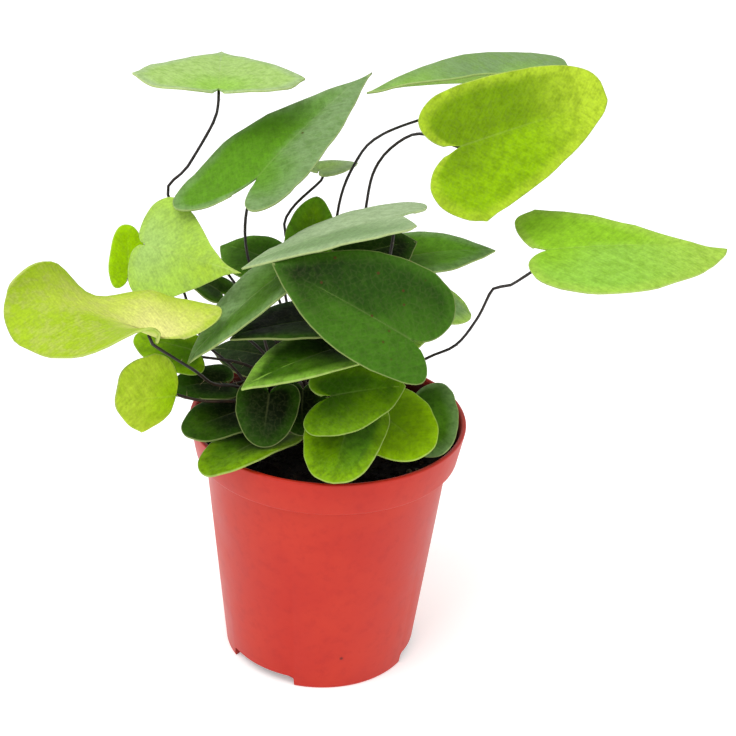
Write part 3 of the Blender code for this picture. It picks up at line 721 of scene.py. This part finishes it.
def leafSkinGroup():
    group, given, made = newGroup(
        "leafSkin",
        [("Place", "vector"), ("Under", "value"), ("Seed", "value"), ("Length", "value"),
         ("Vein", "value"), ("Flecks", "value"), ("Left", "colour"), ("Right", "colour"),
         ("Heart", "colour"), ("Tip", "colour"), ("Margin", "colour"), ("Rim", "colour"),
         ("Underside", "colour"), ("Bark", "colour")],
        [("Colour", "colour"), ("Roughness", "value"), ("Height", "value")])
    # place is millimetres along the midrib, across it, and in from the margin
    part = addNode(group, "ShaderNodeSeparateXYZ", inputs={"Vector": given["Place"]}).outputs
    flat = addNode(group, "ShaderNodeCombineXYZ", inputs={
        "X": part["X"], "Y": part["Y"], "Z": given["Seed"]}).outputs["Vector"]
    cloud = noiseValue(group, flat, leafSkin["cloudScale"], 3, 0.55)
    blotch = noiseValue(group, flat, leafSkin["blotchScale"], 3, 0.6)
    grain = noiseValue(group, flat, leafSkin["grainScale"], 2, 0.6)
    # the five tones, with borders that sway; they carry the painted light and shade of the tones
    # along with the leaf's own colour
    sway = calc(group, "MULTIPLY", calc(group, "SUBTRACT", cloud, 0.5), leafSkin["sway"])
    breadth = calc(group, "ADD", part["Y"], sway)
    leftShare = fade(group, breadth, -leafSkin["seam"], leafSkin["seam"], 0, 1)
    tone = mixColour(group, leftShare, given["Right"], given["Left"])
    reach = addNode(group, "ShaderNodeVectorMath", operation="LENGTH", inputs={0: addNode(
        group, "ShaderNodeCombineXYZ", inputs={"X": part["X"], "Y": part["Y"]}).outputs["Vector"]})
    far = calc(group, "ADD", reach.outputs["Value"], sway)
    heartShare = fade(group, far, 1.5, leafSkin["heartReach"], 0.85, 0)
    tone = mixColour(group, heartShare, tone, given["Heart"])
    ahead = calc(group, "DIVIDE", calc(group, "ADD", part["X"], sway), given["Length"])
    tipShare = fade(group, ahead, leafSkin["tipStart"], 1.0, 0, 1)
    tone = mixColour(group, tipShare, tone, given["Tip"])
    inward = calc(group, "ADD", part["Z"], calc(group, "MULTIPLY", sway, 0.6))
    marginShare = fade(group, inward, 0.2, leafSkin["marginWidth"], 0.7, 0)
    tone = mixColour(group, marginShare, tone, given["Margin"])
    # soft blotches, a finer grain and slanting fibres, darker and lighter than the rest
    blotchShare = fade(group, blotch, 0.42, 0.68, 0, leafSkin["blotchMix"])
    tone = mixColour(group, blotchShare, tone, given["Heart"])
    off = calc(group, "ABSOLUTE", part["Y"])
    slant = calc(group, "SUBTRACT", part["X"], off)
    fibres = addNode(group, "ShaderNodeCombineXYZ", inputs={
        "X": calc(group, "MULTIPLY", slant, 1.5), "Y": calc(group, "MULTIPLY", off, 0.35),
        "Z": given["Seed"]}).outputs["Vector"]
    fibre = noiseValue(group, fibres, leafSkin["fibreScale"], 2, 0.55)
    dim = fade(group, blotch, 0.3, 0.7, *leafSkin["blotchDim"])
    for pattern, change in ((grain, leafSkin["grainDim"]), (fibre, leafSkin["fibreDim"])):
        dim = calc(group, "ADD", dim, fade(group, pattern, 0.3, 0.7, change, -change))
    shade = addNode(group, "ShaderNodeCombineColor", inputs={"Red": dim, "Green": dim, "Blue": dim})
    tone = mixColour(group, 1.0, tone, shade.outputs["Color"], "MULTIPLY")
    # a faint net of veins, a pale midrib, and a brown one where the leaf has it
    cells = addNode(group, "ShaderNodeTexVoronoi", feature="DISTANCE_TO_EDGE", inputs={
        "Vector": flat, "Scale": leafSkin["netScale"], "Randomness": 1.0}).outputs["Distance"]
    net = calc(group, "MULTIPLY", fade(group, cells, 0.01, 0.2), fade(group, grain, 0.35, 0.6, 0, 1))
    tone = mixColour(group, calc(group, "MULTIPLY", net, leafSkin["netMix"]), tone, given["Rim"])
    midrib = calc(group, "MULTIPLY", fade(group, off, 0.06, 0.34), fade(group, ahead, 0.1, 0.9))
    midribShare = calc(group, "MULTIPLY", midrib, leafSkin["midribMix"])
    tone = mixColour(group, midribShare, tone, given["Rim"])
    brown = calc(group, "MULTIPLY", fade(group, off, 0.15, 0.6), fade(group, part["X"], 1.0, 9.0))
    tone = mixColour(group, calc(group, "MULTIPLY", brown, given["Vein"]), tone, given["Bark"])
    # brown flecks, the paler underside and the pale rim, which is partly the leaf's pale fringe and
    # partly a painted edge highlight
    dots = addNode(group, "ShaderNodeTexVoronoi", feature="F1", inputs={
        "Vector": flat, "Scale": leafSkin["fleckScale"], "Randomness": 1.0})
    chosen = addNode(group, "ShaderNodeSeparateColor", inputs={"Color": dots.outputs["Color"]})
    dot = fade(group, dots.outputs["Distance"], 0.12, 0.3, leafSkin["fleckMix"], 0)
    fleck = calc(group, "MULTIPLY", dot,
                 calc(group, "LESS_THAN", chosen.outputs["Red"], given["Flecks"]))
    tone = mixColour(group, fleck, tone, given["Bark"])
    underShare = calc(group, "MULTIPLY", given["Under"], leafSkin["underMix"])
    tone = mixColour(group, underShare, tone, given["Underside"])
    rimShare = fade(group, part["Z"], 0.02, leafSkin["rimWidth"], leafSkin["rimMix"], 0)
    tone = mixColour(group, rimShare, tone, given["Rim"])
    group.links.new(tone, made["Colour"])
    rough = fade(group, blotch, 0.3, 0.7, *leafSkin["roughness"])
    rougher = calc(group, "MULTIPLY", given["Under"], leafSkin["underRoughness"])
    group.links.new(calc(group, "ADD", rough, rougher), made["Roughness"])
    # veins and midrib lie sunk in a slightly uneven face
    netDip = calc(group, "MULTIPLY", net, -leafSkin["netDepth"])
    midribDip = calc(group, "MULTIPLY", midrib, -leafSkin["midribDepth"])
    fine = calc(group, "MULTIPLY", calc(group, "ADD", grain, fibre), leafSkin["fineRelief"])
    height = calc(group, "ADD", calc(group, "ADD", netDip, midribDip),
                  calc(group, "ADD", blotch, fine))
    group.links.new(height, made["Height"])
    return group


def leafMaterial(spec, group):
    material, tree, shader = newMaterial("leaf " + spec["name"], 0.5, leafSkin["specular"])
    place = addNode(tree, "ShaderNodeAttribute", attribute_name="leafPlace").outputs["Vector"]
    under = addNode(tree, "ShaderNodeAttribute", attribute_name="leafUnder").outputs["Fac"]
    left, right, heart, tip, margin = [leafColours[tone] for tone in spec["tones"]]
    skin = addNode(tree, "ShaderNodeGroup", node_tree=group)
    for label, value in {"Place": place, "Under": under, "Seed": 7.0 * int(spec["name"]),
                         "Length": (spec["tip"] - spec["base"]).length / mm, "Vein": spec["vein"],
                         "Flecks": spec["flecks"], "Left": left, "Right": right, "Heart": heart,
                         "Tip": tip, "Margin": margin, "Rim": leafColours["rim"],
                         "Underside": leafColours["under"], "Bark": leafColours["bark"]}.items():
        feed(tree, skin.inputs[label], value)
    tree.links.new(skin.outputs["Colour"], shader.inputs["Base Color"])
    tree.links.new(skin.outputs["Roughness"], shader.inputs["Roughness"])
    addBump(tree, shader, skin.outputs["Height"], leafSkin["bump"], leafSkin["bumpHeight"])
    return material


def bladeAxes(spec):
    # along the midrib, to its left, and out of the upper face
    along = (spec["tip"] - spec["base"]).normalized()
    up = (Vector((0, 0, 1)) - along * along.z).normalized()
    left = up.cross(along)
    turn = Matrix.Rotation(spec["roll"], 3, along)
    return along, turn @ left, turn @ up


def outlinePoint(k, steps, spec, length):
    # k is 0 at the tip, positive round the left half and negative round the right
    side = int(k < 0)
    halfWidth = spec["width"] * spec["sides"][side] * length / 2
    widest = spec["widest"][side] * length
    lobe = spec["lobe"][side] * length
    heel = spec["heel"][side]
    front = steps // 2
    k = abs(k)
    if k <= front:
        off = math.cos(math.pi / 2 * k / front)
        u = widest + (length - widest) * off
        v = halfWidth * (1 - off * off) ** spec["point"][side]
    else:
        off = (k - front) / (steps - front)
        back = off * (math.pi / 2 + leafBuild["sinusEnd"])
        if back <= math.pi / 2:
            u = widest - (widest + lobe) * math.sin(back)
            v = halfWidth * (heel + (1 - heel) * math.cos(back))
        else:
            u = -lobe * math.cos(back - math.pi / 2)
            v = halfWidth * heel * (1 - math.sin(back - math.pi / 2))
    v *= 1 - spec["corner"][side] * off ** leafBuild["cornerSpread"]
    v += leafBuild["sinusOpen"] * max(0, -u)
    return Vector((u, -v if side else v))


def bladePoint(u, v, spec, length, axes):
    along, left, up = axes
    side = int(v < 0)
    s = u / length
    if s >= 0:
        rise = 4 * spec["arch"] * s * (1 - s) * length
    else:
        rise = 4 * spec["arch"] * u - spec["droop"][side] * length * (s / spec["lobe"][side]) ** 2
    forward = max(s, 0)
    lift = spec["fold"][side] + spec["twist"][side] * forward ** 3
    lift += spec["dip"][side] * math.sin(math.pi * forward) ** 2
    rise += abs(v) * math.sin(lift)
    return spec["base"] + along * u + left * v * math.cos(lift) + up * rise


def makeBlade(spec, group):
    rays, rings = leafBuild["rays"], leafBuild["rings"]
    length = (spec["tip"] - spec["base"]).length
    axes = bladeAxes(spec)
    outline = {k: outlinePoint(k, rays, spec, length) for k in range(-rays, rays + 1)}
    # rays that would be mere slivers beside the midrib end at the tip
    for k, place in outline.items():
        if abs(k) < rays // 2 and abs(place.y) < leafBuild["sliver"]:
            outline[k] = outline[0]
    shift = Vector((int(spec["name"]) * 3.1, 0, 0))
    # how far the margin at each ray lies from the base
    depth = {}
    for k, place in outline.items():
        run = outline[min(k + 1, rays)] - outline[max(k - 1, -rays)]
        depth[k] = abs(place.x * run.y - place.y * run.x) / max(run.length, 0.01 * mm)
    # a grid with a ray in each column, drawn together at the base
    bm = bmesh.new()
    placeLayer = bm.verts.layers.float_vector.new("leafPlace")
    underLayer = bm.verts.layers.float.new("leafUnder")
    bmesh.ops.create_grid(bm, x_segments=2 * rays, y_segments=rings, size=1)
    for vert in bm.verts:
        k = -round(vert.co.x * rays)
        ring = 1 - ((1 - vert.co.y) / 2) ** leafBuild["ringSpread"]
        flat = outline[k] * ring
        waver = noise.noise(Vector((*outline[k], 0)) / leafBuild["waverSize"] + shift)
        waver *= leafBuild["waver"]
        flat *= 1 + waver * ring ** 3 / max(outline[k].length, 4 * mm)
        margin = (1 - ring) * depth[k]
        wobble = noise.noise(Vector((*flat, 0)) / leafBuild["rippleSize"] + shift)
        wobble = wobble * leafBuild["ripple"] * ring ** 2 - leafBuild["curl"] * ring ** 10
        vert.co = bladePoint(*flat, spec, length, axes) + axes[2] * wobble
        vert[placeLayer] = (flat.x / mm, flat.y / mm, margin / mm)
    bmesh.ops.remove_doubles(bm, verts=bm.verts, dist=leafBuild["merge"])
    bm.normal_update()
    facing = sum(face.normal.dot(axes[2]) for face in bm.faces)
    if facing < 0:
        bmesh.ops.reverse_faces(bm, faces=bm.faces)
        bm.normal_update()
    # half the thickness to each side; the lower sheet is marked for its paler look
    for vert in bm.verts:
        vert.co += vert.normal * leafBuild["thickness"] / 2
    shell = bmesh.ops.extrude_face_region(bm, geom=bm.faces[:], use_keep_orig=True)["geom"]
    for vert in [part for part in shell if isinstance(part, bmesh.types.BMVert)]:
        vert.co -= vert.normal * leafBuild["thickness"]
        vert[underLayer] = 1.0
    bmesh.ops.recalc_face_normals(bm, faces=bm.faces)
    piece = finishPiece(bm, "leaf_" + spec["name"], [leafMaterial(spec, group)])
    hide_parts("blade_" + spec["name"])


def smoothPath(points, spacing):
    # a smooth curve through the points, as a row of places along it
    path = [points[0]]
    for i in range(len(points) - 1):
        before = points[max(i - 1, 0)]
        start, end = points[i], points[i + 1]
        after = points[min(i + 2, len(points) - 1)]
        steps = max(1, round((end - start).length / spacing))
        for step in range(1, steps + 1):
            t = step / steps
            path.append(0.5 * (2 * start + (end - before) * t
                               + (2 * before - 5 * start + 4 * end - after) * t ** 2
                               + (3 * start - before - 3 * end + after) * t ** 3))
    return path


def stalkRoute(spec):
    # from the soil or the crown to just inside the blade's lower face
    length = (spec["tip"] - spec["base"]).length
    axes = bladeAxes(spec)
    along, _, up = axes
    joint = bladePoint(stalkBuild["seat"], 0, spec, length, axes)
    approach = (up + along * spec["lean"]).normalized()
    tilt = stalkBuild["radius"] * approach.cross(up).length
    top = joint - up * (leafBuild["thickness"] * stalkBuild["tuck"] + tilt)
    neck = top - approach * stalkBuild["neck"]
    if spec["foot"]:
        x, y = spec["foot"].xy
        heights = (soil["top"] - stalkBuild["depth"], soil["top"] + 2 * mm)
        foot = [Vector((x, y, height)) for height in heights]
    else:
        centre = Vector((*stalkBuild["crownCentre"], stalkBuild["crownTop"] - stalkBuild["root"]))
        out = ((spec["via"] + [neck])[0] - centre).normalized()
        foot = [centre + out * stalkBuild["crownRadius"] * share for share in (0.3, 0.8)]
    return smoothPath([*foot, *spec["via"], neck, top], stalkBuild["spacing"])


def addTube(bm, route, radius):
    # sweeps a ring along the route, turned as little as can be
    last = len(route) - 1
    heading = (route[1] - route[0]).normalized()
    side = heading.orthogonal().normalized()
    ringBefore = []
    for i, place in enumerate(route):
        if i:
            heading = (route[min(i + 1, last)] - route[i - 1]).normalized()
        side = (side - heading * side.dot(heading)).normalized()
        other = heading.cross(side)
        turn = Matrix((side, other, heading)).transposed()
        low = max(0, 1 - (place.z - soil["top"]) / stalkBuild["swellReach"])
        girth = radius * (1 + stalkBuild["knobble"] * noise.noise(place / stalkBuild["knobbleSize"]))
        girth *= 1 + stalkBuild["swell"] * low
        ring = bmesh.ops.create_circle(bm, cap_ends=i in (0, last), segments=stalkBuild["sides"],
                                       radius=girth)["verts"]
        for vert in ring:
            vert.co = turn @ vert.co + place
        if ringBefore:
            # the edges of the two rings, each once and always in the same order
            edges = dict.fromkeys(e for vert in ringBefore + ring for e in vert.link_edges)
            loops = [e for e in edges if all(v in ringBefore for v in e.verts)
                     or all(v in ring for v in e.verts)]
            bmesh.ops.bridge_loops(bm, edges=loops)
        ringBefore = ring


def addHairs(bm, route, radius, draw, count):
    # short pale hairs, thickest low down
    for _ in range(count):
        t = draw.random() ** stalkBuild["hairsLow"] * (len(route) - 3) + 1
        i = int(t)
        place = route[i].lerp(route[i + 1], t - i)
        heading = (route[i + 1] - route[i]).normalized()
        out = heading.orthogonal().normalized()
        out.rotate(Matrix.Rotation(draw.uniform(0, 2 * math.pi), 3, heading))
        aim = (out + heading * draw.uniform(0.1, 0.9)).normalized()
        size = draw.uniform(*stalkBuild["hairLengths"])
        hair = bmesh.ops.create_cone(bm, cap_ends=False, segments=3, radius1=stalkBuild["hairRadius"],
                                     radius2=stalkBuild["hairTip"], depth=size)["verts"]
        turn = aim.to_track_quat("Z", "Y").to_matrix()
        for vert in hair:
            vert.co = turn @ (vert.co + Vector((0, 0, size / 2))) + place + out * radius * 0.9


def stalkMaterial():
    material, tree, shader = newMaterial("wiry stalk", 0.42, 0.4)
    place = addNode(tree, "ShaderNodeTexCoord").outputs["Object"]
    patch = noiseValue(tree, place, 220, 3, 0.6)
    height = addNode(tree, "ShaderNodeSeparateXYZ", inputs={"Vector": place}).outputs["Z"]
    low = fade(tree, height, stalkBuild["brownFoot"], stalkBuild["brownTop"], 0.8, 0.1)
    share = calc(tree, "MULTIPLY", low, fade(tree, patch, 0.35, 0.7, 0.1, 1))
    tone = mixColour(tree, share, stalkBuild["black"], stalkBuild["brown"])
    tree.links.new(tone, shader.inputs["Base Color"])
    addBump(tree, shader, noiseValue(tree, place, 1400, 3, 0.6), 0.3, 0.1 * mm)
    return material


def hairMaterial():
    material, tree, shader = newMaterial("pale hair", 0.6, 0.3)
    place = addNode(tree, "ShaderNodeTexCoord").outputs["Object"]
    tone = mixColour(tree, fade(tree, noiseValue(tree, place, 300), 0.35, 0.65, 0, 0.5),
                     stalkBuild["hair"], stalkBuild["brown"])
    tree.links.new(tone, shader.inputs["Base Color"])
    return material


def makeStalks():
    wiry = stalkMaterial()
    hairy = hairMaterial()
    draw = random.Random(11)
    hairs = bmesh.new()
    for spec in tallFronds:
        route = stalkRoute(spec)
        bm = bmesh.new()
        addTube(bm, route, stalkBuild["radius"])
        bmesh.ops.recalc_face_normals(bm, faces=bm.faces)
        piece = finishPiece(bm, "wire_" + spec["name"], [wiry])
        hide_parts("stalk_" + spec["name"])
        addHairs(hairs, route, stalkBuild["radius"], draw, stalkBuild["hairsPerStalk"])
    # the knobbly rootstock, with the low stalks grown out of it
    bm = bmesh.new()
    bmesh.ops.create_icosphere(bm, subdivisions=5, radius=1)
    bottom = soil["top"] - stalkBuild["crownDepth"]
    high = (stalkBuild["crownTop"] - bottom) / 2
    centre = Vector((*stalkBuild["crownCentre"], bottom + high))
    for vert in bm.verts:
        way = vert.co.copy()
        reach = stalkBuild["crownRadius"] + stalkBuild["crownLump"] * noise.noise(way * 2.2)
        reach += stalkBuild["crownGrain"] * noise.noise(way * 9)
        vert.co = centre + Vector((way.x * reach, way.y * reach, way.z * high))
    for spec in lowFronds:
        route = stalkRoute(spec)
        addTube(bm, route, stalkBuild["radius"])
        addHairs(hairs, route, stalkBuild["radius"], draw, stalkBuild["hairsPerStalk"])
    bmesh.ops.recalc_face_normals(bm, faces=bm.faces)
    rootstock = finishPiece(bm, "rootstock", [wiry])
    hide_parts("crown")
    finishPiece(hairs, "stalkHairs", [hairy])
    print("stalks done")


def makeLeaves():
    group = leafSkinGroup()
    for spec in tallFronds + lowFronds:
        makeBlade(spec, group)
    print("leaves done")


makeCamera()
makeStudio()
makePot()
makeSoil()
makeStalks()
makeLeaves()
